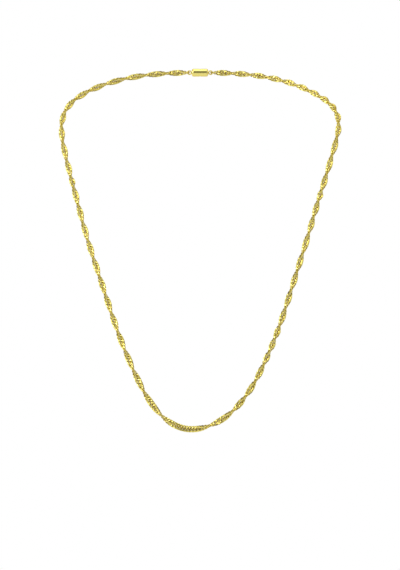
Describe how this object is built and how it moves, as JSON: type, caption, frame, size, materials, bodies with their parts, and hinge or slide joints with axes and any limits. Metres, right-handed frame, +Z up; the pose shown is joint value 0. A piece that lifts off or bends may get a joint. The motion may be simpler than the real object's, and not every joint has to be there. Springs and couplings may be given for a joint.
{
  "type": "twisted chain necklace",
  "caption": "Fine gold-coloured curb chain, twisted along its length into small spindle-shaped lobes, hanging as worn and closed by a plain barrel clasp at the nape.",
  "frame": {"origin": "middle of the clasp, where the necklace lies on the nape", "axes": "+Z up, the front of the necklace faces -Y, +X to the right as seen from the front"},
  "size_m": [0.1142, 0.0944, 0.1468],
  "materials": {
    "chain": "yellow gold, polished, with small cut facets on the links",
    "clasp": "yellow gold, polished smooth"
  },
  "bodies": {
    "root": {"chain_left": "chain", "chain_right": "chain", "clasp": "clasp"}
  },
  "joints": []
}
